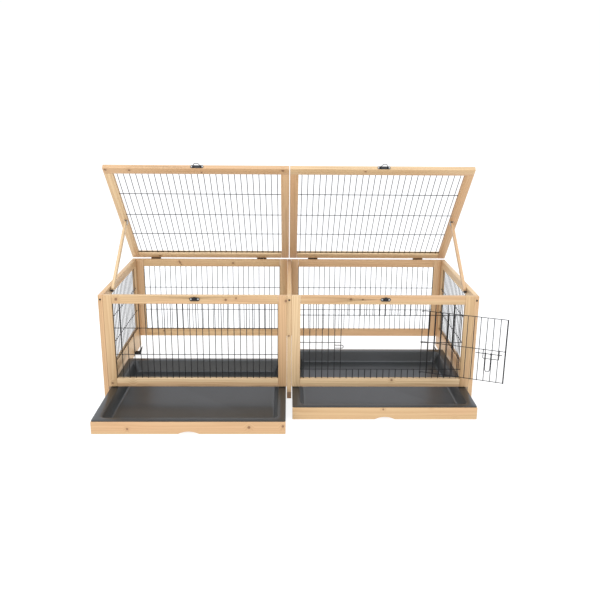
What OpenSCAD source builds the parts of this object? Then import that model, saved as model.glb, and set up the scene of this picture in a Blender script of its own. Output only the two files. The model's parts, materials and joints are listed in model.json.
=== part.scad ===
// Two-bay hutch: pine strip panels with wire mesh, two hinged lids, two pull-out trays.
// Origin: centre of the footprint on the floor. The front faces -Y, and X runs to the right.

/* [Overall] */
// Width over both side panels
hutch_w = 1200; // [1180:10:1220]
// Depth from front face to rear face
hutch_d = 520; // [500:5:540]
// Height of the frame, lids closed
hutch_h = 350; // [340:5:360]

/* [Strips] */
// Face width of a frame strip
strip_w = 28; // [26:1:30]
// Thickness of every strip and board
strip_t = 15; // [14:0.5:16]
// Gap under the front and rear panels, which the trays pass through
under_gap = 42; // [41:1:46]
// Height of the board along the bottom of the sides and the divider
board_h = 78; // [60:1:90]

/* [Mesh] */
// Wire diameter
wire_d = 2; // [1.6:0.2:2.4]
// Pitch of the upright wires
wire_pitch = 20; // [20:1:24]
// Depth that the mesh sits in the strips' grooves
groove_deep = 4; // [3:0.5:5]

/* [Lids] */
// Angle that the lids stand open
lid_open = 46; // [42:1:47]
// Gap between the two lids
lid_gap = 2; // [2:1:8]

/* [Trays] */
// Height of a tray over the floor
tray_h = 40; // [36:1:40]
// How far the left tray is pulled out
pull_left = 253; // [0:1:380]
// How far the right tray is pulled out
pull_right = 155; // [0:1:380]

/* [Door] */
// Width of the wire door
door_w = 264; // [262:1:266]
// Angle that the door stands open
door_open = 158; // [90:1:170]

/* [Hidden] */
pine = [0.90, 0.77, 0.58];
black_wire = [0.16, 0.16, 0.17];
tray_grey = [0.30, 0.30, 0.31];
steel = [0.75, 0.75, 0.77];
half_w = hutch_w / 2;
half_d = hutch_d / 2;
side_in = half_w - strip_t;             // inner face of a side panel
mid_in = strip_t / 2;                   // face of the divider
bay_w = side_in - mid_in;               // width of a front or rear panel
panel_h = hutch_h - under_gap;          // height of a front or rear panel
wide = [-1, 1];                         // the left and the right bay
fit = 0.1;                              // clearance round screws

// Mesh: upright and level wires, in a groove behind the middle of the strips
mesh_y = 8;                             // front of the upright wires, from the strip's face
weld = 0.4;                             // how far crossing wires sink into each other
groove_w = 2 * wire_d + 1;
levels = [149.5, 238.5];                // level wires over the floor

// Door opening in the right front mesh
hinge_x = 426;
catch_x = 166;
door_low = 99.5;
door_mid = 191.5;
door_high = 283.5;
door_over = 12;                         // how far the door laps the opening, above and below
bolt_z = 180;
bolt_d = 2.5;
door_y = 6;                             // middle of the door's wires behind the front face
catch_y = -3.6;                         // front of the catch loop, before the front face
catch_long = 28;
guide_at = [194, 243];                  // the bolt's guides, from the hinge wire

// Lid hinges
pivot_back = 3.7;                       // hinge axis behind the rear face
knuckle_r = 3.5;
pin_d = 2.4;
hinge_w = 36;
leaf_t = 1.4;
hinge_at = [-210, 195];                 // from each lid's middle
lid_w = (hutch_w - lid_gap) / 2;
lid_mid = half_w - lid_w / 2;

// Stays: top pin on the lid's bracket, round foot on a peg of the side rail
stay_t = 9;
stay_w = 15;
stay_x = side_in - 1 - stay_t / 2;
stay_top = 236;                         // pin, from the lid's rear edge
stay_drop = 10;                         // pin, under the lid
stay_len = 293;                         // pin to the middle of the round foot
stay_lean = 82.5;                       // between stay and lid
peg_r = 3;
peg_in = 12.5;                          // from the middle of the stay into the rail
stay_pin_d = 4;

// Trays
rim_t = 1.5;
rim_w = 24;
wall_t = 2;
wall_lean = 14;                         // how far the walls lean in over their height
tray_in = 10;                           // inner end, from the middle of the hutch
tray_out = half_w - 22;                 // outer end
tray_len = hutch_d - 5;
tray_w = tray_out - tray_in;
tray_mid = (tray_out + tray_in) / 2;
board_lip = 4;                          // the board's front face stands this far before the rim
notch_w = 62;
notch_h = 8;

// Lid latches and their strike plates
latch_at = 3;                           // from each lid's middle
latch_z = 7;                            // loop axis over the lid's underside
latch_out = 4;                          // loop axis in front of the lid
loop_len = 21;
loop_w = 20;
loop_top = 12;                          // the loop narrows to its end
loop_lean = 18;                         // how far it hangs below straight out
plate_t = 1.2;
strike_z = hutch_h - 12;
lug_x = loop_w / 2 + 2.3;

screw_d = 3;
head_d = 6;
to_front = [90, 0, 0];
to_rear = [-90, 0, 0];

// ---- screws -------------------------------------------------------------

// A wood screw along -Z with its head over the origin; grow widens its shank to a hole
module screw(long, grow = 0) {
    translate([0, 0, -long]) cylinder(h = long, d = screw_d + grow, $fn = 24);
    if (grow == 0) intersection() {
        translate([0, 0, -2.5]) sphere(r = 4, $fn = 32);
        cylinder(h = 2, d = head_d, $fn = 24);
    }
}

// Each spot is a place, a turn and a length
module screws(spots, grow = 0) {
    for (s = spots) translate(s[0]) rotate(s[1]) screw(s[2], grow);
}

function hinge_mid(side, k) = side * lid_mid + hinge_at[k];
function latch_mid(side) = side * lid_mid + latch_at;
corner_screws = [for (x = [-half_w + mid_in, 0, half_w - mid_in])
    each [[[x, -half_d, hutch_h - 14], to_front, 20], [[x, half_d, hutch_h - 14], to_rear, 20]]];
side_screws = [for (s = wide, y = [-1, 1], z = [56, 300])
    [[s * half_w, y * (half_d - mid_in), z], [0, s * 90, 0], 28]];
strike_screws = [for (s = wide, dx = [-11, 11])
    [[latch_mid(s) + dx, -half_d - plate_t, strike_z], to_front, 10]];
hinge_screws = [for (s = wide, k = [0, 1], dx = [-11, 11])
    [[hinge_mid(s, k) + dx, half_d + leaf_t, hutch_h - 15], to_rear, 10]];
frame_spots = concat(corner_screws, side_screws, strike_screws, hinge_screws);

// The screws of one lid, with the lid closed
function lid_spots(s) = concat(
    [for (dx = [-17, 17]) [[latch_mid(s) + dx, -half_d - plate_t, hutch_h + latch_z], to_front, 10]],
    [for (k = [0, 1], dx = [-13, 13]) [[hinge_mid(s, k) + dx, half_d + leaf_t, hutch_h + 9.5], to_rear, 10]]);

module frame_screws() color(steel) screws(frame_spots);
module lid_screws_left() color(steel) lid_pose() screws(lid_spots(-1));
module lid_screws_right() color(steel) lid_pose() screws(lid_spots(1));

// ---- strips and mesh, drawn upright with the panel's face at y = 0 -------

// The mesh's outline between the strips, which cuts their grooves
module groove(w, low, high) {
    translate([strip_w - groove_deep, mesh_y - wire_d / 2, low - groove_deep])
        cube([w - 2 * (strip_w - groove_deep), groove_w, high - low + 2 * groove_deep]);
}

// A pair of stiles from the bottom up to h, round an opening from low to high
module stiles(w, h, low, high) difference() {
    for (x = [0, w - strip_w]) translate([x, 0, 0]) cube([strip_w, strip_t, h]);
    groove(w, low, high);
}

// A rail between the stiles, at height z
module rail(w, low, high, z, tall = strip_w) difference() {
    translate([strip_w, 0, z]) cube([w - 2 * strip_w, strip_t, tall]);
    groove(w, low, high);
}

module upright(x, z0, z1) translate([x - wire_d / 2, mesh_y, z0]) cube([wire_d, wire_d, z1 - z0]);
module level(z, x0, x1) translate([x0, mesh_y + wire_d - weld, z - wire_d / 2]) cube([x1 - x0, wire_d, wire_d]);

// Uprights spread from the middle, and level wires at the heights given and along both edges
module mesh(w, low, high, heights) {
    x0 = strip_w - groove_deep;
    x1 = w - strip_w + groove_deep;
    z0 = low - groove_deep;
    z1 = high + groove_deep;
    side_count = floor((w / 2 - strip_w) / wire_pitch);
    for (i = [-side_count : side_count]) upright(w / 2 + i * wire_pitch, z0, z1);
    for (z = concat([z0 + wire_d / 2], heights, [z1 - wire_d / 2])) level(z, x0, x1);
}

// ---- side panels and divider --------------------------------------------

module side_stiles() stiles(hutch_d, hutch_h, board_h, hutch_h - strip_w);
module side_top_rail() rail(hutch_d, board_h, hutch_h - strip_w, hutch_h - strip_w);
module side_board() rail(hutch_d, board_h, hutch_h - strip_w, 0, board_h);
module side_mesh() mesh(hutch_d, board_h, hutch_h - strip_w, levels);

// A side panel's face looks outwards
module side_turn(s) {
    if (s < 0) translate([-half_w, half_d, 0]) rotate([0, 0, -90]) children();
    else translate([half_w, -half_d, 0]) rotate([0, 0, 90]) children();
}

module side_wood(s) color(pine) difference() {
    side_turn(s) children();
    stay_peg(s);
    screws(corner_screws, fit);
    screws(side_screws, fit);
}
module side_left_stiles() side_wood(-1) side_stiles();
module side_left_top_rail() side_wood(-1) side_top_rail();
module side_left_board() side_wood(-1) side_board();
module side_left_mesh() color(black_wire) side_turn(-1) side_mesh();
module side_right_stiles() side_wood(1) side_stiles();
module side_right_top_rail() side_wood(1) side_top_rail();
module side_right_board() side_wood(1) side_board();
module side_right_mesh() color(black_wire) side_turn(1) side_mesh();

module divider_turn() translate([mid_in, -half_d, 0]) rotate([0, 0, 90]) children();
module divider_stiles() color(pine) difference() {
    divider_turn() side_stiles();
    screws(corner_screws, fit);
}
module divider_top_rail() color(pine) divider_turn() side_top_rail();
module divider_board() color(pine) divider_turn() side_board();
module divider_mesh() color(black_wire) divider_turn() side_mesh();

// ---- front and rear panels ----------------------------------------------

module bay_stiles() stiles(bay_w, panel_h, strip_w, panel_h - strip_w);
module bay_rails() for (z = [0, panel_h - strip_w]) rail(bay_w, strip_w, panel_h - strip_w, z);
module bay_mesh() mesh(bay_w, strip_w, panel_h - strip_w, [for (z = levels) z - under_gap]);

module front_turn(s) translate([s < 0 ? -side_in : mid_in, -half_d, under_gap]) children();
module rear_turn(s) translate([s < 0 ? -mid_in : side_in, half_d, under_gap]) rotate([0, 0, 180]) children();
module front_wood(s) color(pine) difference() {
    front_turn(s) children();
    screws(side_screws, fit);
    screws(strike_screws, fit);
}
module rear_wood(s) color(pine) difference() {
    rear_turn(s) children();
    screws(side_screws, fit);
    screws(hinge_screws, fit);
}
module front_left_stiles() front_wood(-1) bay_stiles();
module front_left_rails() front_wood(-1) bay_rails();
module front_left_mesh() color(black_wire) front_turn(-1) bay_mesh();
module front_right_stiles() front_wood(1) bay_stiles();
module front_right_rails() front_wood(1) bay_rails();
module rear_left_stiles() rear_wood(-1) bay_stiles();
module rear_left_rails() rear_wood(-1) bay_rails();
module rear_left_mesh() color(black_wire) rear_turn(-1) bay_mesh();
module rear_right_stiles() rear_wood(1) bay_stiles();
module rear_right_rails() rear_wood(1) bay_rails();
module rear_right_mesh() color(black_wire) rear_turn(1) bay_mesh();

// The right front mesh is four flat parts round the door opening, which meet at its edges
right_low = under_gap + strip_w - groove_deep;
right_high = hutch_h - strip_w + groove_deep;
module beside_door(first, step, x0, x1) color(black_wire) translate([0, -half_d, 0]) {
    for (i = [0 : 6]) upright(first + i * step, right_low, right_high);
    for (z = [right_low + wire_d / 2, door_low, door_mid, door_high, right_high - wire_d / 2]) level(z, x0, x1);
}
module over_door(z0, z1) color(black_wire) translate([0, -half_d, 0]) {
    for (x = [catch_x + wire_pitch : wire_pitch : hinge_x - wire_pitch]) upright(x, z0, z1);
    for (z = [z0 + wire_d / 2, z1 - wire_d / 2]) level(z, catch_x + wire_d / 2, hinge_x - wire_d / 2);
}
module front_right_mesh_left()
    beside_door(catch_x, -wire_pitch, mid_in + strip_w - groove_deep, catch_x + wire_d / 2);
module front_right_mesh_right()
    beside_door(hinge_x, wire_pitch, hinge_x - wire_d / 2, side_in - strip_w + groove_deep);
module front_right_mesh_below() over_door(right_low, door_low + wire_d / 2);
module front_right_mesh_above() over_door(door_high - wire_d / 2, right_high);

// Two legs that stand forward of the mesh, joined by an end
catch_z = bolt_z + 2;
module door_catch() color(black_wire) translate([0, -half_d, 0]) {
    leg_x = catch_x - wire_pitch - wire_d / 2;
    for (z = [catch_z - 5, catch_z + 5]) {
        translate([leg_x, catch_y, z - wire_d / 2]) cube([wire_d, mesh_y - catch_y, wire_d]);
        translate([leg_x, catch_y, z - wire_d / 2]) cube([catch_long, wire_d, wire_d]);
    }
    translate([leg_x + catch_long - wire_d, catch_y, catch_z - 5]) cube([wire_d, wire_d, 10]);
}

// ---- lids, drawn as upright panels that lie down on the frame ------------

module lid_turn(s) translate([s * lid_mid - lid_w / 2, half_d, hutch_h]) rotate([90, 0, 0]) children();

// Turns what is drawn on the closed lids up to where they stand open
module lid_pose() {
    translate([0, half_d + pivot_back, hutch_h]) rotate([-lid_open, 0, 0])
        translate([0, -half_d - pivot_back, -hutch_h]) children();
}

lid_high = hutch_d - strip_w;
module lid_wood(s) color(pine) lid_pose() difference() {
    lid_turn(s) children();
    screws(lid_spots(s), fit);
}
module lid_stiles() stiles(lid_w, lid_high, strip_w, lid_high);
module lid_front() difference() {
    translate([0, 0, lid_high]) cube([lid_w, strip_t, strip_w]);
    groove(lid_w, strip_w, lid_high);
}
module lid_rear() rail(lid_w, strip_w, lid_high, 0);
module lid_mesh(s) color(black_wire) lid_pose() lid_turn(s)
    mesh(lid_w, strip_w, lid_high, [for (i = [1 : 3]) strip_w + i * (lid_high - strip_w) / 4]);
module lid_left_stiles() lid_wood(-1) lid_stiles();
module lid_left_front_rail() lid_wood(-1) lid_front();
module lid_left_rear_rail() lid_wood(-1) lid_rear();
module lid_left_mesh() lid_mesh(-1);
module lid_right_stiles() lid_wood(1) lid_stiles();
module lid_right_front_rail() lid_wood(1) lid_front();
module lid_right_rear_rail() lid_wood(1) lid_rear();
module lid_right_mesh() lid_mesh(1);

// ---- lid hinges ----------------------------------------------------------

module knuckle(x, long) difference() {
    translate([x - long / 2, half_d + pivot_back, hutch_h]) rotate([0, 90, 0]) cylinder(h = long, r = knuckle_r, $fn = 32);
    translate([x - long, half_d + pivot_back, hutch_h]) rotate([0, 90, 0]) cylinder(h = 2 * long, d = pin_d + 0.2, $fn = 24);
}
// A leaf on the rear face, from z0 up to z1, that stops short of the pin
module leaf(x, z0, z1) translate([x - hinge_w / 2, half_d, z0]) cube([hinge_w, leaf_t, z1 - z0]);

knuckle_w = hinge_w / 3;
module hinge_frame_leaves() color(black_wire) difference() {
    for (s = wide, k = [0, 1]) {
        x = hinge_mid(s, k);
        difference() {
            leaf(x, hutch_h - 24, hutch_h);
            translate([x - knuckle_w / 2 - 0.3, half_d - 1, hutch_h - 5]) cube([knuckle_w + 0.6, 4, 6]);
        }
        for (side = wide) knuckle(x + side * knuckle_w, knuckle_w);
    }
    screws(hinge_screws, fit);
}
module lid_leaves(s) color(black_wire) lid_pose() difference() {
    for (k = [0, 1]) {
        x = hinge_mid(s, k);
        difference() {
            leaf(x, hutch_h, hutch_h + strip_t - 1);
            for (side = wide) translate([x + side * knuckle_w - knuckle_w / 2 - 0.3, half_d - 1, hutch_h - 1])
                cube([knuckle_w + 0.6, 4, 6]);
        }
        knuckle(x, knuckle_w - 0.6);
    }
    screws(lid_spots(s), fit);
}
module hinge_lid_leaves_left() lid_leaves(-1);
module hinge_lid_leaves_right() lid_leaves(1);
module hinge_pins() color(steel) for (s = wide, k = [0, 1])
    translate([hinge_mid(s, k) - hinge_w / 2 - 1, half_d + pivot_back, hutch_h]) rotate([0, 90, 0])
        cylinder(h = hinge_w + 2, d = pin_d, $fn = 24);

// ---- stays ---------------------------------------------------------------

// Moves to the stay's top pin on the closed lid, with the stay pointing along +X from there
module stay_turn(s) translate([s * stay_x, half_d - stay_top, hutch_h - stay_drop])
    rotate([stay_lean, 0, 0]) rotate([0, 0, -90]) children();

module stay(s) color(pine) lid_pose() stay_turn(s) rotate([90, 0, 0]) translate([0, 0, -stay_t / 2]) difference() {
    union() {
        for (x = [0, stay_len]) translate([x, 0, 0]) cylinder(h = stay_t, d = stay_w, $fn = 48);
        translate([0, -stay_w / 2, 0]) cube([stay_len, stay_w, stay_t]);
    }
    translate([0, 0, -1]) cylinder(h = stay_t + 2, d = stay_pin_d + 0.3, $fn = 24);
}
module stay_left() stay(-1);
module stay_right() stay(1);

// A plate under the lid, a lug beside the stay and the pin through it
module stay_bracket(s) color(steel) lid_pose() translate([s * stay_x, half_d - stay_top, hutch_h]) {
    inner = -s * (stay_t / 2 + 0.5);
    lug_x = s < 0 ? inner : inner - 2;
    translate([s < 0 ? inner + 2 - 11.5 : inner - 2, -8, -1.6]) cube([11.5, 16, 1.6]);
    translate([lug_x, -5, -stay_drop]) cube([2, 10, stay_drop]);
    translate([lug_x, 0, -stay_drop]) rotate([0, 90, 0]) cylinder(h = 2, r = 5, $fn = 32);
    translate([s < 0 ? lug_x + 1 - stay_t : lug_x + 1, 0, -stay_drop]) rotate([0, 90, 0])
        cylinder(h = stay_t, d = stay_pin_d, $fn = 24);
}
module stay_bracket_left() stay_bracket(-1);
module stay_bracket_right() stay_bracket(1);

// The foot rests on a peg in the side rail, straight beyond the stay's end
module stay_peg(s) lid_pose() stay_turn(s)
    translate([stay_len + stay_w / 2 + peg_r + 0.2, 0, 0]) rotate([90, 0, 0])
        translate([0, 0, s < 0 ? -stay_t / 2 : -peg_in]) cylinder(h = stay_t / 2 + peg_in, r = peg_r, $fn = 24);
module stay_pegs() color(black_wire) for (s = wide) stay_peg(s);

// ---- trays ---------------------------------------------------------------

module tray_pose(s) translate([s * tray_mid, -half_d - (s < 0 ? pull_left : pull_right), 0]) children();

// A tub that narrows downwards, from z0 to z1, inset from the rim's edge
module tub(inset, z0, z1) {
    w = tray_w - 2 * (rim_w + inset);
    d = tray_len - board_lip - 2 * (rim_w + inset);
    lean = wall_lean * (z1 - z0) / (tray_h - rim_t);
    hull() {
        translate([-w / 2, board_lip + rim_w + inset, z1 - 0.01]) cube([w, d, 0.01]);
        translate([-w / 2 + lean, board_lip + rim_w + inset + lean, z0]) cube([w - 2 * lean, d - 2 * lean, 0.01]);
    }
}
module tray(s) color(tray_grey) tray_pose(s) difference() {
    union() {
        translate([-tray_w / 2, board_lip, tray_h - rim_t]) cube([tray_w, tray_len - board_lip, rim_t]);
        tub(0, 1, tray_h - rim_t);
    }
    tub(wall_t, 1 + wall_t, tray_h + 1);
}
module tray_left() tray(-1);
module tray_right() tray(1);

module tray_board(s) color(pine) tray_pose(s) difference() {
    translate([-tray_w / 2, 0, 0]) cube([tray_w, strip_t, tray_h - rim_t]);
    r = (notch_w * notch_w / 4 + notch_h * notch_h) / (2 * notch_h);
    translate([0, -1, notch_h - r]) rotate([-90, 0, 0]) cylinder(h = strip_t + 2, r = r, $fn = 96);
}
module tray_board_left() tray_board(-1);
module tray_board_right() tray_board(1);

// Clips low on the side panels beside the trays' tubs, with an upturned end
module tray_guides() color(black_wire) for (s = wide)
    translate([s * side_in, half_d - 100, 0]) rotate([90, 0, 0]) linear_extrude(24)
        polygon([for (p = [[0, 4], [20, 4], [26, 30], [19, 22], [14, 10], [0, 10]]) [-s * p[0], p[1]]]);

// ---- door ----------------------------------------------------------------

// What is drawn on the closed door swings out round the hinge wire
module door_pose() translate([hinge_x, mesh_y + wire_d / 2 - half_d, 0]) rotate([0, 0, door_open])
    translate([-hinge_x, -mesh_y - wire_d / 2 + half_d, 0]) children();

door_z0 = door_low - door_over + 3;
door_z1 = door_high + door_over + 3;
door_free = hinge_x - door_w;

// Upright wires, level wires and the hooks at their ends round the hinge wire
module door() color(black_wire) door_pose() translate([0, -half_d, 0]) {
    for (i = [1 : 13]) translate([hinge_x - i * wire_pitch - 1 - wire_d / 2, door_y - wire_d / 2, door_z0 - wire_d / 2])
        cube([wire_d, wire_d, door_z1 - door_z0 + wire_d]);
    for (z = [door_z0, door_mid + 3, door_z1]) {
        translate([door_free, door_y - wire_d / 2 - wire_d + weld, z - wire_d / 2]) cube([door_w - 8, wire_d, wire_d]);
        door_hook(z);
    }
    translate([door_free, door_y - wire_d / 2, door_z0 - wire_d / 2]) cube([wire_d, wire_d, door_z1 - door_z0 + wire_d]);
}

// A ring round the hinge wire, open by the wire's own thickness and 0.5 mm
module door_hook(z) {
    hook_in = wire_d / 2 * sqrt(2) + 0.5;
    difference() {
        union() {
            translate([hinge_x, mesh_y + wire_d / 2, z - wire_d / 2]) cylinder(h = wire_d, r = hook_in + 1.8, $fn = 32);
            translate([hinge_x - 10, door_y - wire_d / 2 - wire_d + weld, z - wire_d / 2]) cube([10, wire_d + 1, wire_d]);
        }
        translate([hinge_x, mesh_y + wire_d / 2, z - wire_d]) cylinder(h = 2 * wire_d, r = hook_in, $fn = 32);
    }
}

// The bolt slides in a wire guide in front of the door, and a loop handle hangs from it
door_front = door_y - 1.5 * wire_d + weld;
bolt_y = door_front - bolt_d / 2 - 2.15;
bolt_x0 = hinge_x - 253;
bolt_long = 82;
handle_x = hinge_x - 210;
handle_w = 16;
handle_len = 62;
module bolt_turn(x) translate([x, bolt_y - half_d, bolt_z]) rotate([0, 90, 0]) children();
module door_bolt() color(black_wire) door_pose() bolt_turn(bolt_x0) cylinder(h = bolt_long, d = bolt_d, $fn = 24);

// A U of wire stands off the door's middle level wire and holds the bolt against the door
guide_y = bolt_y - bolt_d / 2 - 1.25;
guide_z = 163;
module door_bolt_guide() color(black_wire) door_pose() translate([hinge_x, -half_d, 0]) {
    for (u = guide_at) {
        translate([-u, door_front, door_mid + 3]) rotate([90, 0, 0]) cylinder(h = door_front - guide_y, d = 2, $fn = 24);
        translate([-u, guide_y, guide_z - 1]) cylinder(h = door_mid + 5 - guide_z, d = 2, $fn = 24);
    }
    translate([-guide_at[1], guide_y, guide_z]) rotate([0, 90, 0])
        cylinder(h = guide_at[1] - guide_at[0], d = 2, $fn = 24);
}

// Rings on the bolt carry a long loop that hangs down in front of the guide
handle_y = guide_y - 2.2;
module ring_on_bolt(x, long) difference() {
    bolt_turn(x - long / 2) cylinder(h = long, d = bolt_d + 4, $fn = 32);
    bolt_turn(x - long) cylinder(h = 2 * long, d = bolt_d + 0.4, $fn = 24);
}
module door_bolt_handle() color(black_wire) door_pose() {
    for (dx = [-1, 1]) translate([dx * handle_w / 2, 0, 0]) {
        ring_on_bolt(handle_x, 2);
        translate([handle_x - 1, handle_y - half_d, bolt_z - 1]) cube([2, bolt_y - bolt_d / 2 - 0.3 - handle_y, 2]);
        translate([handle_x, handle_y - half_d, bolt_z - handle_len]) cylinder(h = handle_len + 1, d = 2, $fn = 24);
    }
    translate([handle_x - handle_w / 2, handle_y - half_d, bolt_z - handle_len]) rotate([0, 90, 0])
        cylinder(h = handle_w, d = 2, $fn = 24);
}

// ---- lid latches ---------------------------------------------------------

module round_plate(long, tall) {
    translate([-(long - tall) / 2, -plate_t, -tall / 2]) cube([long - tall, plate_t, tall]);
    for (dx = [-1, 1]) translate([dx * (long - tall) / 2, 0, 0]) rotate([90, 0, 0])
        cylinder(h = plate_t, d = tall, $fn = 48);
}

// Round wire between two points of the loop's plane
module rod(x0, y0, x1, y1) translate([x0, y0, 0]) rotate([90, 0, atan2(x1 - x0, y0 - y1)])
    cylinder(h = norm([x1 - x0, y1 - y0]), d = 2, $fn = 24);

module latch_turn(s) lid_pose() translate([latch_mid(s), -half_d, hutch_h + latch_z]) children();

// A plate on the lid's front edge with two lugs that hold the loop's pins
module lid_latch_plate(s) color(black_wire) difference() {
    latch_turn(s) {
        translate([0, 0, 0.5]) round_plate(42, 11);
        for (dx = [-1, 1]) difference() {
            translate([dx * lug_x - 1, -latch_out - 2.5, -2.5]) cube([2, latch_out + 2.5, 5]);
            translate([dx * lug_x - 2, -latch_out, 0]) rotate([0, 90, 0]) cylinder(h = 4, d = 2.3, $fn = 24);
        }
    }
    lid_pose() screws(lid_spots(s), fit);
}
module lid_latch_plate_left() lid_latch_plate(-1);
module lid_latch_plate_right() lid_latch_plate(1);

// The loop stands straight out from the open lid, and turns down over the strike when it is closed
module lid_latch_loop(s) color(black_wire) latch_turn(s) translate([0, -latch_out, 0]) rotate([loop_lean, 0, 0]) {
    for (dx = [-1, 1]) {
        rod(dx * loop_w / 2, 0, dx * loop_w / 2, -8.1);
        rod(dx * loop_w / 2, -8, dx * loop_top / 2, -loop_len);
        translate([dx > 0 ? loop_w / 2 : -loop_w / 2 - 3.5, 0, 0]) rotate([0, 90, 0]) cylinder(h = 3.5, d = 2, $fn = 24);
    }
    translate([-loop_top / 2 - 1, -loop_len, 0]) rotate([0, 90, 0]) cylinder(h = loop_top + 2, d = 2, $fn = 24);
}
module lid_latch_loop_left() lid_latch_loop(-1);
module lid_latch_loop_right() lid_latch_loop(1);

// Plates on the front top rails, each with a hook that the loop goes under
module strike_plates() color(black_wire) difference() {
    for (s = wide) translate([latch_mid(s), -half_d, strike_z]) {
        round_plate(32, 11);
        translate([-3.5, -7.5, 1]) cube([7, 7.5, 2]);
        translate([-3.5, -7.5, -1.5]) cube([7, 1.4, 10.5]);
    }
    screws(strike_screws, fit);
}

side_left_stiles();
side_left_top_rail();
side_left_board();
side_left_mesh();
side_right_stiles();
side_right_top_rail();
side_right_board();
side_right_mesh();
divider_stiles();
divider_top_rail();
divider_board();
divider_mesh();
front_left_stiles();
front_left_rails();
front_left_mesh();
front_right_stiles();
front_right_rails();
front_right_mesh_left();
front_right_mesh_right();
front_right_mesh_below();
front_right_mesh_above();
door_catch();
rear_left_stiles();
rear_left_rails();
rear_left_mesh();
rear_right_stiles();
rear_right_rails();
rear_right_mesh();
lid_left_stiles();
lid_left_front_rail();
lid_left_rear_rail();
lid_left_mesh();
lid_right_stiles();
lid_right_front_rail();
lid_right_rear_rail();
lid_right_mesh();
tray_left();
tray_right();
tray_board_left();
tray_board_right();
stay_left();
stay_right();
stay_bracket_left();
stay_bracket_right();
stay_pegs();
door();
door_bolt_guide();
door_bolt();
door_bolt_handle();
hinge_frame_leaves();
hinge_lid_leaves_left();
hinge_lid_leaves_right();
hinge_pins();
lid_latch_plate_left();
lid_latch_plate_right();
lid_latch_loop_left();
lid_latch_loop_right();
strike_plates();
frame_screws();
lid_screws_left();
lid_screws_right();
tray_guides();
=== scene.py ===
import json
import math
import random

import bmesh
import bpy
from mathutils import Matrix, Vector


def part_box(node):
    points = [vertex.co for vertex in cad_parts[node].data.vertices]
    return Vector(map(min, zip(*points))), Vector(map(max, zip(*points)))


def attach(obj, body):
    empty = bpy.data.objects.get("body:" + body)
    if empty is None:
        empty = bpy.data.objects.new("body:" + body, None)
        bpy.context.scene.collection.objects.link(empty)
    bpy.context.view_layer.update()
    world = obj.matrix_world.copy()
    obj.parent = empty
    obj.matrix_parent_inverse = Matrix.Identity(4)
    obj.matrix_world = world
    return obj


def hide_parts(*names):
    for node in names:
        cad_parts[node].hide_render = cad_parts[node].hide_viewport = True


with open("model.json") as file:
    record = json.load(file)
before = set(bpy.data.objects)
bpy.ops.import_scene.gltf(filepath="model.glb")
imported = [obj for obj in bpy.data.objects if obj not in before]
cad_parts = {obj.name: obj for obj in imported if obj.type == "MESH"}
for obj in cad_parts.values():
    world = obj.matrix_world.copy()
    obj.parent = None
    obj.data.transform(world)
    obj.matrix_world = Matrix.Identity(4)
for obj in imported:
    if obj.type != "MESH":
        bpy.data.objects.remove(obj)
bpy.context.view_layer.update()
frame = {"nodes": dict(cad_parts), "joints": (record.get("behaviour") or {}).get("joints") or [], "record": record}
nodes = frame["nodes"]
joints = {j["name"]: j for j in frame["joints"]}
bodyOf = {n: body for body, names in frame["record"]["behaviour"]["bodies"].items() for n in names}
slotOf = {s["node"]: s["material_slot"] for s in frame["record"]["subparts"]}
mm = 0.001


# where the camera stands, how it is turned (degrees) and its lens
shot = {"place": (-0.0044, -2.3863, 0.9552), "yaw": 1.02, "pitch": 16.22, "roll": 0.46, "lens": 42.27}


def makeCamera():
    turn = (Matrix.Rotation(math.radians(-shot["yaw"]), 4, "Z")
            @ Matrix.Rotation(math.radians(90 - shot["pitch"]), 4, "X")
            @ Matrix.Rotation(math.radians(shot["roll"]), 4, "Z"))
    data = bpy.data.cameras.new("camera")
    data.lens = shot["lens"]
    data.sensor_width = 36
    camera = bpy.data.objects.new("camera", data)
    camera.matrix_world = Matrix.Translation(shot["place"]) @ turn
    bpy.context.scene.collection.objects.link(camera)
    bpy.context.scene.camera = camera


# each lamp: place, point it looks at, size, power and colour
lamps = {
    "skyPanel": {"place": (0, -0.6, 3.2), "aim": (0, 0, 0.2), "size": 3.4, "power": 44,
                 "colour": (0.84, 0.93, 1)},
    "frontPanel": {"place": (-1.6, -3.4, 1.9), "aim": (0, 0, 0.3), "size": 2.2, "power": 24,
                   "colour": (1, 0.93, 0.82)},
}


studio = {"sky": (0.98, 1, 1.06, 1), "skyStrength": 1.04,
          "floor": (0.36, 0.36, 0.36, 1), "floorGlow": 0.78, "floorSize": 14}


def makeStudio():
    for name, lamp in lamps.items():
        data = bpy.data.lights.new(name, "AREA")
        data.size = lamp["size"]
        data.energy = lamp["power"]
        data.color = lamp["colour"]
        light = bpy.data.objects.new(name, data)
        aim = (Vector(lamp["aim"]) - Vector(lamp["place"])).to_track_quat("-Z", "Y")
        light.matrix_world = Matrix.Translation(lamp["place"]) @ aim.to_matrix().to_4x4()
        bpy.context.scene.collection.objects.link(light)
    world = bpy.data.worlds.new("studio")
    world.use_nodes = True
    sky = world.node_tree.nodes["Background"].inputs
    sky["Color"].default_value = studio["sky"]
    sky["Strength"].default_value = studio["skyStrength"]
    bpy.context.scene.world = world
    bpy.context.scene.view_settings.view_transform = "Standard"
    bm = bmesh.new()
    bmesh.ops.create_grid(bm, x_segments=1, y_segments=1, size=studio["floorSize"])
    floor = link("floor", bm)
    paint = Finish("paleFloor", roughness=0.9, specular=0.0)
    paint.fixed("Base Color", studio["floor"])
    paint.fixed("Emission Color", (1, 1, 1, 1))
    paint.fixed("Emission Strength", studio["floorGlow"])
    floor.data.materials.append(paint.material)


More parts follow.
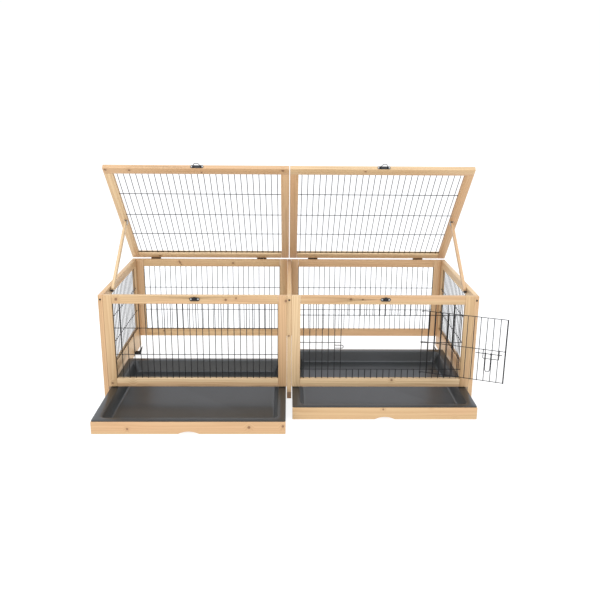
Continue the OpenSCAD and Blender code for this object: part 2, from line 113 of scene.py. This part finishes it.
class Link:
    # an output socket that does arithmetic by adding Math nodes
    def __init__(self, finish, socket):
        self.finish = finish
        self.socket = socket

    def math(self, operation, *others):
        return self.finish.add("ShaderNodeMath", {"operation": operation}, [self, *others])

    def __add__(self, other):
        return self.math("ADD", other)

    def __mul__(self, other):
        return self.math("MULTIPLY", other)

    def __sub__(self, other):
        return self.math("SUBTRACT", other)

    def __rsub__(self, other):
        return self.finish.add("ShaderNodeMath", {"operation": "SUBTRACT"}, [other, self])

    __radd__ = __add__
    __rmul__ = __mul__


class Finish:
    # a material with one Principled shader
    def __init__(self, name, roughness=0.5, metallic=0.0, specular=0.5):
        self.material = bpy.data.materials.new(name)
        self.material.use_nodes = True
        self.tree = self.material.node_tree
        self.shader = self.tree.nodes["Principled BSDF"]
        self.fixed("Roughness", roughness)
        self.fixed("Metallic", metallic)
        self.fixed("Specular IOR Level", specular)

    def fixed(self, name, value):
        self.shader.inputs[name].default_value = value

    def add(self, kind, settings=None, inputs=(), out=0):
        node = self.tree.nodes.new(kind)
        for key, value in (settings or {}).items():
            setattr(node, key, value)
        pairs = inputs.items() if isinstance(inputs, dict) else enumerate(inputs)
        for key, value in pairs:
            if isinstance(value, Link):
                self.tree.links.new(value.socket, node.inputs[key])
            else:
                node.inputs[key].default_value = value
        return Link(self, node.outputs[out])

    def mix(self, factor, first, second):
        return self.add("ShaderNodeMix", {"data_type": "RGBA"}, {0: factor, 6: first, 7: second}, out=2)

    def vector(self, operation, *inputs, out=0):
        return self.add("ShaderNodeVectorMath", {"operation": operation}, inputs, out=out)

    def stretch(self, vector, factors):
        return self.vector("MULTIPLY", vector, factors)

    def noise(self, vector, scale, detail=2.0, roughness=0.5, out="Fac"):
        inputs = {"Vector": vector, "Scale": scale, "Detail": detail, "Roughness": roughness}
        return self.add("ShaderNodeTexNoise", None, inputs, out=out)

    def band(self, value, low, high, start=0.0, end=1.0):
        return self.add("ShaderNodeMapRange", {"interpolation_type": "SMOOTHSTEP"},
                        [value, low, high, start, end])

    def where(self):
        return self.add("ShaderNodeTexCoord", out="Object")

    def feed(self, name, link):
        self.tree.links.new(link.socket, self.shader.inputs[name])

    def bump(self, height, distance, strength=1.0):
        self.feed("Normal", self.add("ShaderNodeBump", None,
                                     {"Height": height, "Distance": distance, "Strength": strength}))


# planed pine: colours of early, late and heart wood, sizes in metres
pine = {
    "cream": (0.76, 0.55, 0.315, 1), "honey": (0.63, 0.42, 0.215, 1), "rosy": (0.64, 0.38, 0.20, 1),
    "late": (0.44, 0.245, 0.105, 1), "knot": (0.22, 0.095, 0.038, 1), "knotRim": (0.10, 0.042, 0.018, 1),
    "ring": 0.0052, "heart": 0.031, "knotCell": 0.15, "knotSize": 0.0045, "wobble": 0.003,
}

# knots that show in the strips' faces, and at (1, -262, 9) a wide dark patch of painted shade at the divider's
# foot between the trays: place and radius, in millimetres
knotsAndFootShade = (
    (-543, -260, 337, 4.2), (-200, -260, 336, 3.4), (-167, -260, 341, 2.6), (194, -260, 339, 3.6),
    (232, -260, 339, 2.4), (-572, -260, 54, 3.4), (-11, -260, 333, 3.6), (-1.5, -260, 217, 2.6),
    (334, -260, 66, 3.6), (1, -262, 9, 13), (-472, -513, 17, 3.0), (-117, -513, 22, 4.0),
    (-18, -513, 25, 3.6), (288, -415, 34, 2.6), (-419, 245, 341, 2.8), (-416, 245, 336, 3.0),
    (-412, 245, 330, 2.6), (-215, 245, 336, 3.2), (-491, 245, 62, 2.8), (-589, 245, 60, 3.6),
    (-515, -93.1, 719.5, 3.6), (-591, -94.5, 721, 4.0), (-22, -94.5, 721, 4.2), (-284, -86.9, 713, 2.6),
    (245, -93.1, 719.5, 3.0), (-493, 252.1, 362, 3.6),
)


def pineFinish():
    f = Finish("pine", roughness=0.5, specular=0.5)
    grain = f.add("ShaderNodeAttribute", {"attribute_name": "grain"}, out="Vector")
    tone = f.add("ShaderNodeAttribute", {"attribute_name": "tone"}, out="Fac")
    slow = f.noise(f.stretch(grain, (3, 16, 16)), 1.0, 2.0, out="Color")
    drift = f.vector("SUBTRACT", slow, (0.5, 0.5, 0.5))
    swayed = f.vector("MULTIPLY_ADD", drift, (0.0, 0.010, 0.010), grain)
    # distance to the nearest knot in knot radii: those in the list, the painted shade at the divider's foot among
    # them, and small ones scattered in the wood
    cells = {"Vector": grain, "Scale": 1 / pine["knotCell"]}
    away = f.add("ShaderNodeTexVoronoi", None, cells, out="Distance")
    away = away * (pine["knotCell"] / pine["knotSize"])
    wobble = f.noise(f.where(), 190, 1.0, out="Color")
    here = f.vector("MULTIPLY_ADD", wobble, (pine["wobble"],) * 3, f.where())
    for x, y, z, size in knotsAndFootShade:
        centre = tuple(v * mm + pine["wobble"] / 2 for v in (x, y, z))
        gap = f.vector("DISTANCE", here, centre, out="Value")
        away = away.math("MINIMUM", gap * (1 / (size * mm)))
    core = f.band(away, 1.0, 0.7)
    rim = f.band(away, 1.25, 1.0) * (1 - f.band(away, 1.0, 0.75))
    halo = f.band(away, 4.5, 1.0)
    # year rings about the pith, pushed aside round the knots
    radius = f.vector("LENGTH", f.stretch(swayed, (0, 1, 1)), out="Value")
    width = f.noise(f.stretch(grain, (1.2, 30, 30)), 1.0, 1.0)
    phase = (radius + halo * 0.007) * (1 / pine["ring"]) + width * 1.6
    year = phase.math("FRACT")
    late = f.band(year, 0.25, 0.86) * (1 - f.band(year, 0.88, 1.0))
    # fibres, resin streaks and slow changes of tone
    fibre = f.noise(f.stretch(grain, (26, 1100, 1100)), 1.0, 3.0, 0.6)
    streak = f.noise(f.stretch(grain, (5, 170, 170)), 1.0, 2.0)
    patch = f.noise(f.stretch(grain, (4, 22, 22)), 1.0, 2.0)
    warm = f.band(tone + (patch - 0.5) * 1.1, -0.9, 0.9)
    heart = f.band(radius + (patch - 0.5) * 0.012, pine["heart"] + 0.0012, pine["heart"])
    base = f.mix(warm, pine["cream"], pine["honey"])
    base = f.mix(f.band(patch + tone * 0.12, 0.52, 0.78, 0.0, 0.6), base, pine["rosy"])
    base = f.mix(heart * 0.55, base, pine["rosy"])
    base = f.mix(late * (0.14 + streak * 0.40), base, pine["late"])
    base = f.mix(f.band(streak, 0.60, 0.80, 0.0, 0.30), base, pine["late"])
    base = f.mix(f.band(fibre, 0.62, 0.85, 0.0, 0.35), base, pine["late"])
    base = f.mix(halo * 0.28, base, pine["late"])
    # the knot colours also paint the shade at the divider's foot
    base = f.mix(core * 0.85, base, pine["knot"])
    base = f.mix(rim * 0.8, base, pine["knotRim"])
    f.feed("Base Color", base)
    f.feed("Roughness", 0.40 + fibre * 0.16 - late * 0.06)
    f.bump(fibre * 0.5 - late * 0.25 - rim * 0.8, 0.00025, 0.7)
    return f.material


def wireFinish(name, colour, roughness):
    # powder coat: even black with a faint orange peel
    f = Finish(name, specular=0.35)
    here = f.where()
    peel = f.noise(here, 1400, 2.0)
    patch = f.noise(here, 55, 3.0)
    dull = tuple(c * 1.4 + 0.003 for c in colour[:3]) + (1,)
    f.feed("Base Color", f.mix(f.band(patch, 0.45, 0.75), colour, dull))
    f.feed("Roughness", roughness + patch * 0.12)
    f.bump(peel, 0.00006, 0.5)
    return f.material


traySheet = {"dark": (0.017, 0.019, 0.018, 1), "light": (0.025, 0.027, 0.028, 1),
             "rubbed": (0.10, 0.10, 0.10, 1)}


def trayFinish():
    # vacuum-formed sheet: fine leathery grain, a few rubbed marks
    f = Finish("trayPlastic", specular=0.6)
    here = f.where()
    pebble = f.add("ShaderNodeTexVoronoi", {"feature": "SMOOTH_F1"},
                   {"Vector": here, "Scale": 900, "Smoothness": 0.6}, out="Distance")
    cloud = f.noise(here, 5, 3.0)
    scuff = f.noise(f.stretch(here, (14, 260, 60)), 1.0, 4.0, 0.7)
    worn = f.band(scuff, 0.62, 0.80) * f.band(cloud, 0.45, 0.62)
    base = f.mix(f.band(cloud, 0.3, 0.7), traySheet["dark"], traySheet["light"])
    f.feed("Base Color", f.mix(worn * 0.35, base, traySheet["rubbed"]))
    f.feed("Roughness", 0.25 + cloud * 0.08 + worn * 0.14)
    f.bump(pebble * 0.5 + scuff * 0.3, 0.00008, 0.5)
    return f.material


# grey and bright zinc; dull is painted shade, for screws sunk in recesses
zinc = {"grey": (0.40, 0.40, 0.39, 1), "bright": (0.56, 0.56, 0.55, 1), "dull": (0.07, 0.055, 0.045, 1)}


def zincFinish():
    f = Finish("zinc", metallic=1.0)
    here = f.where()
    grainy = f.noise(here, 900, 3.0)
    # the dull attribute marks screws painted with the shade of their recesses
    dull = f.add("ShaderNodeAttribute", {"attribute_name": "dull"}, out="Fac")
    bright = f.mix(grainy, zinc["grey"], zinc["bright"])
    f.feed("Base Color", f.mix(dull, bright, zinc["dull"]))
    f.feed("Roughness", 0.28 + grainy * 0.2)
    f.bump(grainy, 0.00004, 0.4)
    return f.material


def makeFinishes():
    return {
        "pine": pineFinish(),
        "mesh_wire": wireFinish("coatedWire", (0.008, 0.008, 0.009, 1), 0.5),
        "black_hardware": wireFinish("blackSheet", (0.012, 0.012, 0.013, 1), 0.34),
        "guide_plastic": wireFinish("blackPlastic", (0.016, 0.016, 0.016, 1), 0.5),
        "tray_plastic": trayFinish(),
        "zinc_screws": zincFinish(),
    }


def link(name, bm, smooth=None):
    mesh = bpy.data.meshes.new(name)
    bm.to_mesh(mesh)
    bm.free()
    piece = bpy.data.objects.new(name, mesh)
    bpy.context.scene.collection.objects.link(piece)
    if smooth is not None:
        mesh.shade_smooth()
        mesh.set_sharp_from_angle(angle=math.radians(smooth))
    return piece


# finishes a piece that stands for a CAD node: material, body and slot
def standFor(piece, *names):
    slot = slotOf[names[0]]
    piece.data.materials.clear()
    piece.data.materials.append(finishes[slot])
    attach(piece, bodyOf[names[0]])
    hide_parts(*names)


# a merged copy of a CAD node without the seams between its triangles
def mergedCopy(node):
    bm = bmesh.new()
    bm.from_mesh(nodes[node].data)
    bmesh.ops.remove_doubles(bm, verts=bm.verts, dist=0.01 * mm)
    bmesh.ops.dissolve_limit(bm, angle_limit=math.radians(1), verts=bm.verts, edges=bm.edges)
    return bm


# rounds the outer corners of more than 40 degrees, on edges longer than shortest
def easeEdges(bm, radius, shortest):
    edges = [e for e in bm.edges if len(e.link_faces) == 2 and e.calc_length() > shortest
             and e.calc_face_angle_signed(0) > math.radians(40)]
    bmesh.ops.bevel(bm, geom=edges, offset=radius, segments=2, profile=0.5, affect="EDGES",
                    material=-1, clamp_overlap=True)


def islands(bm):
    seen = set()
    for first in bm.faces:
        if first in seen:
            continue
        seen.add(first)
        group = [first]
        for face in group:
            for near in (f for e in face.edges for f in e.link_faces if f not in seen):
                seen.add(near)
                group.append(near)
        yield group


# joins two points by a rounded corner at every bend
def bent(points, radius, steps=5):
    points = [Vector(p) for p in points]
    path = [points[0]]
    for before, corner, after in zip(points, points[1:], points[2:]):
        reach = min(radius, 0.49 * (before - corner).length, 0.49 * (after - corner).length)
        start = corner + (before - corner).normalized() * reach
        end = corner + (after - corner).normalized() * reach
        for i in range(steps + 1):
            t = i / steps
            path.append((1 - t) ** 2 * start + 2 * t * (1 - t) * corner + t ** 2 * end)
    path.append(points[-1])
    return path


# round wire along each path, made a mesh
def tubes(name, runs, turn=Matrix.Identity(4)):
    made = bmesh.new()
    for radius in sorted({r for r, _ in runs}):
        curve = bpy.data.curves.new(name, "CURVE")
        curve.dimensions = "3D"
        curve.bevel_depth = radius
        curve.bevel_resolution = 2
        curve.use_fill_caps = True
        for path in (p for r, p in runs if r == radius):
            spline = curve.splines.new("POLY")
            spline.points.add(len(path) - 1)
            for point, place in zip(spline.points, path):
                point.co = (*place, 1)
        helper = bpy.data.objects.new(name, curve)
        bpy.context.scene.collection.objects.link(helper)
        bpy.context.view_layer.update()
        mesh = bpy.data.meshes.new_from_object(helper.evaluated_get(bpy.context.evaluated_depsgraph_get()))
        made.from_mesh(mesh)
        bpy.data.objects.remove(helper)
        bpy.data.curves.remove(curve)
        bpy.data.meshes.remove(mesh)
    bmesh.ops.remove_doubles(made, verts=made.verts, dist=0.001 * mm)
    bmesh.ops.transform(made, matrix=turn, verts=made.verts)
    bmesh.ops.recalc_face_normals(made, faces=made.faces)
    return link(name, made, smooth=50)


# eased edges, the hair's gap at joints (wider beside the divider) and how far off the tree's pith lies
strips = {"edge": 0.9 * mm, "shortest": 1.6 * mm, "shortestStay": 0.7 * mm,
          "joint": 0.22 * mm, "dividerJoint": 2, "pithNear": 0.016, "pithFar": 0.055}


# painted light and shade: boards are painted darker and the front panels' low rails paler, to offset how the light
# falls on them
def paintedLightStep(node, middle):
    lowRail = node.startswith("front") and node.endswith("rails") and middle.z < 100 * mm
    return 1.0 if "_board" in node else -1.0 if lowRail else 0.0


# each strip gets its own grain: x along it, y and z measured from the tree's pith
def growGrain(bm, node):
    grain = bm.verts.layers.float_vector.new("grain")
    tone = bm.verts.layers.float.new("tone")
    for number, faces in enumerate(islands(bm)):
        draw = random.Random(f"{node} {number}")
        edges = dict.fromkeys(e for f in faces for e in f.edges)  # in order, so that ties fall the same way
        longest = max(edges, key=lambda e: e.calc_length())
        along = (longest.verts[1].co - longest.verts[0].co).normalized()
        wide = max(faces, key=lambda f: f.calc_area()).normal
        wide = (wide - along * wide.dot(along)).normalized()
        side = wide.cross(along)
        verts = dict.fromkeys(v for f in faces for v in f.verts)
        middle = sum((v.co for v in verts), Vector()) / len(verts)
        turn = draw.uniform(-1.1, 1.1) + (math.pi if draw.random() < 0.5 else 0)
        far = draw.uniform(strips["pithNear"], strips["pithFar"])
        shift = Vector((draw.uniform(0, 40), far * math.sin(turn), far * math.cos(turn)))
        lean = draw.uniform(-0.018, 0.018)
        # a random tone for each strip, plus the painted light and shade step
        shade = draw.uniform(-0.75, 0.75) + paintedLightStep(node, middle)
        for v in verts:
            offset = v.co - middle
            run = offset.dot(along)
            v[grain] = shift + Vector((run, offset.dot(side) + lean * run, offset.dot(wide)))
            v[tone] = shade


def makeWood():
    for node in (n for n in slotOf if slotOf[n] == "pine"):
        bm = mergedCopy(node)
        bm.normal_update()
        joint = strips["joint"] * (strips["dividerJoint"] if node == "divider_stiles" else 1)
        moves = [(v, v.normal * v.calc_shell_factor() * joint) for v in bm.verts]
        for v, move in moves:
            v.co -= move
        easeEdges(bm, strips["edge"], strips["shortestStay" if node.startswith("stay") else "shortest"])
        growGrain(bm, node)
        standFor(link(node + "_pine", bm, smooth=35), node)


# pitch and wire as in the frame; every upright is bent a hair, as drawn wire is
grid = {"pitch": 20 * mm, "radius": 1.15 * mm, "strip": 28 * mm, "groove": 4 * mm, "face": 8 * mm,
        "weld": 0.3 * mm, "wave": 0.2 * mm, "bend": 90 * mm, "levels": (149.5 * mm, 238.5 * mm)}


def upright(draw, x, low, high, y=None):
    y = grid["face"] + grid["radius"] if y is None else y
    wave = grid["wave"]
    steps = max(1, round((high - low) / grid["bend"]))
    rise = [low + (high - low) * i / steps for i in range(steps + 1)]
    return (grid["radius"], [(x + (draw.uniform(-wave, wave) if 0 < i < steps else 0), y, z)
                             for i, z in enumerate(rise)])


def level(z, left, right):
    y = grid["face"] + 3 * grid["radius"] - grid["weld"]
    return (grid["radius"], [(left, y, z), (right, y, z)])


# a mesh drawn upright with the panel's face at y = 0, as wide as the panel
def gridRuns(draw, wide, low, high, heights):
    inset = grid["strip"] - grid["groove"]
    left, right = inset, wide - inset
    bottom, top = low - grid["groove"], high + grid["groove"]
    count = math.floor((wide / 2 - grid["strip"]) / grid["pitch"])
    runs = [upright(draw, wide / 2 + i * grid["pitch"], bottom, top) for i in range(-count, count + 1)]
    edge = grid["radius"]
    return runs + [level(z, left, right) for z in (bottom + edge, *heights, top - edge)]


def turned(place, degrees=0, axis="Z"):
    return Matrix.Translation(place) @ Matrix.Rotation(math.radians(degrees), 4, axis)


# how a body stands at rest when its joint is counted from its lowest value, such as a lid from closed
def fromLowest(name):
    joint = joints[name]
    place = Vector(joint["pos_m"])
    angle = -math.radians(joint["range_deg"][0])
    return (Matrix.Translation(place) @ Matrix.Rotation(angle, 4, Vector(joint["axis"]))
            @ Matrix.Translation(-place))


def makeMeshes():
    draw = random.Random("mesh")
    low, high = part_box("side_left_stiles")
    sideX, frontY = -low[0], low[1]
    top = high[2]
    deep = high[1] - low[1]
    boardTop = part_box("side_left_board")[1][2]
    strip = grid["strip"]
    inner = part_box("divider_stiles")[1][0]

    def sideRuns():
        return gridRuns(draw, deep, boardTop, top - strip, grid["levels"])

    plans = {
        "side_left_mesh": (sideRuns(), turned((-sideX, -frontY, 0), -90)),
        "side_right_mesh": (sideRuns(), turned((sideX, frontY, 0), 90)),
        "divider_mesh": (sideRuns(), turned((inner, frontY, 0), 90)),
    }
    panelLow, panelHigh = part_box("front_left_stiles")
    wide = panelHigh[0] - panelLow[0]
    tall = panelHigh[2] - panelLow[2]
    gap = panelLow[2]

    def bayRuns():
        return gridRuns(draw, wide, strip, tall - strip, [z - gap for z in grid["levels"]])

    plans["front_left_mesh"] = (bayRuns(), turned((panelLow[0], frontY, gap)))
    plans["rear_left_mesh"] = (bayRuns(), turned((-inner, -frontY, gap), 180))
    plans["rear_right_mesh"] = (bayRuns(), turned((-panelLow[0], -frontY, gap), 180))
    around = [n for n in nodes if n.startswith("front_right_mesh")] + ["door_catch"]
    doorRuns = doorPanelRuns(draw, inner, -panelLow[0], gap, top)
    standFor(tubes("front_right_mesh_wire", doorRuns, turned((0, frontY, 0))), *around)
    for side in ("left", "right"):
        railLow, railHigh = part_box(f"lid_{side}_front_rail")
        lidLeft, lidRight = railLow[0], railHigh[0]
        heights = [strip + i * (deep - 2 * strip) / 4 for i in (1, 2, 3)]
        runs = gridRuns(draw, lidRight - lidLeft, strip, deep - strip, heights)
        flat = turned((lidLeft, -frontY, top), 90, "X")
        plans[f"lid_{side}_mesh"] = (runs, fromLowest(f"lid_{side}_hinge") @ flat)
    for node, (runs, turn) in plans.items():
        standFor(tubes(node + "_wire", runs, turn), node)


# the opening in the right front mesh, in metres from the middle and the floor
doorway = {"left": 166 * mm, "right": 426 * mm, "low": 99.5 * mm, "mid": 191.5 * mm, "high": 283.5 * mm,
           "beside": 7, "boltZ": 180 * mm, "catchZ": 182 * mm, "catchY": -2.6 * mm,
           "catchLong": 27 * mm, "catchTall": 10 * mm, "catchBend": 4 * mm}


def doorPanelRuns(draw, inner, outer, gap, top):
    pitch, d = grid["pitch"], doorway
    inset = grid["strip"] - grid["groove"]
    bottom, roof = gap + inset, top - inset
    runs = [upright(draw, d["left"] - i * pitch, bottom, roof) for i in range(d["beside"])]
    runs += [upright(draw, d["right"] + i * pitch, bottom, roof) for i in range(d["beside"])]
    for i in range(1, round((d["right"] - d["left"]) / pitch)):
        runs.append(upright(draw, d["left"] + i * pitch, bottom, d["low"] + grid["radius"]))
        runs.append(upright(draw, d["left"] + i * pitch, d["high"] - grid["radius"], roof))
    left, right = inner + inset, outer - inset
    edge = grid["radius"]
    runs += [level(z, left, right) for z in (bottom + edge, d["low"], d["high"], roof - edge)]
    runs += [level(d["mid"], left, d["left"] + edge), level(d["mid"], d["right"] - edge, right)]
    # the catch: one wire out, round a narrow end and back
    back = grid["face"] + edge
    root = d["left"] - pitch
    lowLeg, highLeg = (d["catchZ"] + side * d["catchTall"] / 2 for side in (-1, 1))
    tip = root + d["catchLong"]
    front = d["catchY"]
    catch = [(root, back, lowLeg), (root, front, lowLeg), (tip, front, lowLeg),
             (tip, front, highLeg), (root, front, highLeg), (root, back, highLeg)]
    return runs + [(edge, bent(catch, d["catchBend"]))]


# door, bolt and drop handle are drawn with the door closed; places along them count from the hinge
door = {"wide": 264 * mm, "y": 6 * mm, "hook": 2.65 * mm, "over": 12 * mm, "lift": 3 * mm,
        "uprights": 13, "guides": (194 * mm, 243 * mm), "guideZ": 163 * mm, "guideOff": 1.25 * mm,
        "bolt": (171 * mm, 253 * mm), "boltRadius": 1.25 * mm, "boltOff": 6 * mm,
        "handle": 210 * mm, "handleWide": 16 * mm, "handleLong": 62 * mm, "handleOff": 2.5 * mm,
        "play": 0.15 * mm, "ringSteps": 14, "hookStep": 22, "hookPoints": 13, "hookStart": 9 * mm,
        "guideBend": 3 * mm, "handleBend": 4 * mm}


# a ring round the bolt's axis, which runs along x
def ringRun(x, y, z, radius, wire):
    steps = door["ringSteps"]
    ring = [(x, y + radius * math.sin(a), z + radius * math.cos(a))
            for a in (i * math.tau / steps for i in range(steps + 1))]
    return (wire, ring)


def makeDoor():
    swing = fromLowest("door_hinge")
    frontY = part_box("front_right_rails")[0][1]
    turn = swing @ Matrix.Translation((0, frontY, 0))
    edge = grid["radius"]
    hingeX = doorway["right"]
    free = hingeX - door["wide"]
    low = doorway["low"] - door["over"] + door["lift"]
    high = doorway["high"] + door["over"] + door["lift"]
    mid = doorway["mid"] + door["lift"]
    draw = random.Random("door")
    places = [hingeX - i * grid["pitch"] - edge for i in range(1, door["uprights"] + 1)] + [free + edge]
    runs = [upright(draw, x, low - edge, high + edge, door["y"]) for x in places]
    levelY = door["y"] - 2 * edge + grid["weld"]
    axisY = grid["face"] + edge
    hook = door["hook"]
    for z in (low, mid, high):
        # the hooks start in front of the hinge wire and curl round behind it
        curl = [(hingeX + hook * math.cos(a), axisY + hook * math.sin(a), z)
                for a in (math.radians(door["hookStep"] * i - 90) for i in range(door["hookPoints"]))]
        runs.append((edge, [(free, levelY, z), (hingeX - door["hookStart"], levelY, z), *curl]))
    standFor(tubes("door_wire", runs, turn), "door")
    makeBolt(turn, hingeX, mid)


def makeBolt(turn, hingeX, mid):
    radius = door["boltRadius"]
    y = door["y"] - door["boltOff"]
    z = doorway["boltZ"]
    tip, tail = hingeX - door["bolt"][1], hingeX - door["bolt"][0]
    standFor(tubes("door_bolt_rod", [(radius, [(tip, y, z), (tail, y, z)])], turn), "door_bolt")
    wire = grid["radius"]
    out = y - radius - door["guideOff"]
    outer, inner = hingeX - door["guides"][1], hingeX - door["guides"][0]
    back = door["y"] - 2 * wire + grid["weld"]
    low = door["guideZ"]
    guide = bent([(outer, back, mid), (outer, out, mid), (outer, out, low),
                  (inner, out, low), (inner, out, mid), (inner, back, mid)], door["guideBend"])
    standFor(tubes("door_bolt_guide_wire", [(wire, guide)], turn), "door_bolt_guide")
    middle = hingeX - door["handle"]
    half = door["handleWide"] / 2
    foot = z - door["handleLong"]
    loop = radius + wire + door["play"]
    front = out - door["handleOff"]
    leg = [(half, y - loop, z + 1 * mm), (half, front, z - 3 * mm),
           (half, front, foot + 6 * mm), (3 * mm, front, foot)]
    hanging = bent([(middle - x, *rest) for x, *rest in leg]
                   + [(middle + x, *rest) for x, *rest in reversed(leg)], door["handleBend"])
    handle = [(wire, hanging)] + [ringRun(middle + s * half, y, z, loop, wire) for s in (-1, 1)]
    standFor(tubes("door_bolt_handle_wire", handle, turn), "door_bolt_handle")


# rounded loops from the rim's edge to the floor: inset from the rim, depth under it, corner radius
tray = {"thick": 1.5 * mm, "arc": 6,
        "loops": ((0, 1.5, 6), (0, 0.4, 6), (0.8, 0, 6), (21.5, 0, 16), (23.2, 0.5, 16), (24.6, 2.2, 16),
                  (36, 32, 17), (37.6, 34.6, 18), (40.4, 36, 20), (44, 36.4, 22))}


def roundedLoop(bm, low, high, radius, z):
    centres = [(high[0] - radius, high[1] - radius), (low[0] + radius, high[1] - radius),
               (low[0] + radius, low[1] + radius), (high[0] - radius, low[1] + radius)]
    steps = tray["arc"]
    return [bm.verts.new((x + radius * math.cos(a), y + radius * math.sin(a), z))
            for quarter, (x, y) in enumerate(centres)
            for a in ((quarter + i / steps) * math.pi / 2 for i in range(steps + 1))]


# the sheet's upper face from the rim down to the floor; thickness goes downwards and outwards
def makeTrays():
    for side in ("left", "right"):
        node = f"tray_{side}"
        low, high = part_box(node)
        bm = bmesh.new()
        rings = []
        for inset, drop, radius in tray["loops"]:
            near = [v + inset * mm for v in low[:2]]
            far = [v - inset * mm for v in high[:2]]
            rings.append(roundedLoop(bm, near, far, radius * mm, high[2] - drop * mm))
        for outer, inner in zip(rings, rings[1:]):
            for i in range(len(outer)):
                bm.faces.new((outer[i - 1], outer[i], inner[i], inner[i - 1]))
        bm.faces.new(rings[-1])
        piece = link(node + "_formed", bm, smooth=40)
        standFor(piece, node)
        skin = piece.modifiers.new("thickness", "SOLIDIFY")
        skin.thickness = tray["thick"]
        skin.offset = -1


# edges of plates; the screws at the top of the corner posts and the divider are painted dark with the shade of the
# recesses they sit in
hardware = {"edge": 0.35 * mm, "shortest": 2.5 * mm,
            "darkX": (-592.5 * mm, 0, 592.5 * mm), "darkZ": 336 * mm, "darkNear": 3.1 * mm}


def inPaintedShade(place):
    near = hardware["darkNear"]
    return (abs(place.z - hardware["darkZ"]) < near
            and any(abs(place.x - x) < near for x in hardware["darkX"]))


# plates, screws and tray guides come from the frame's own solids
def makeHardware():
    for node, slot in slotOf.items():
        if slot in ("black_hardware", "zinc_screws", "guide_plastic"):
            bm = mergedCopy(node)
            if slot == "zinc_screws":
                # dull: painted recess shade on the screws at the top of the corner posts and the divider
                dull = bm.verts.layers.float.new("dull")
                for v in bm.verts:
                    v[dull] = 1.0 if node == "frame_screws" and inPaintedShade(v.co) else 0.0
            else:
                easeEdges(bm, hardware["edge"], hardware["shortest"])
            standFor(link(node + "_part", bm, smooth=35), node)


print("camera")
makeCamera()
makeStudio()
print("finishes")
finishes = makeFinishes()
print("wood")
makeWood()
print("wire mesh")
makeMeshes()
print("door")
makeDoor()
print("trays")
makeTrays()
print("hardware")
makeHardware()
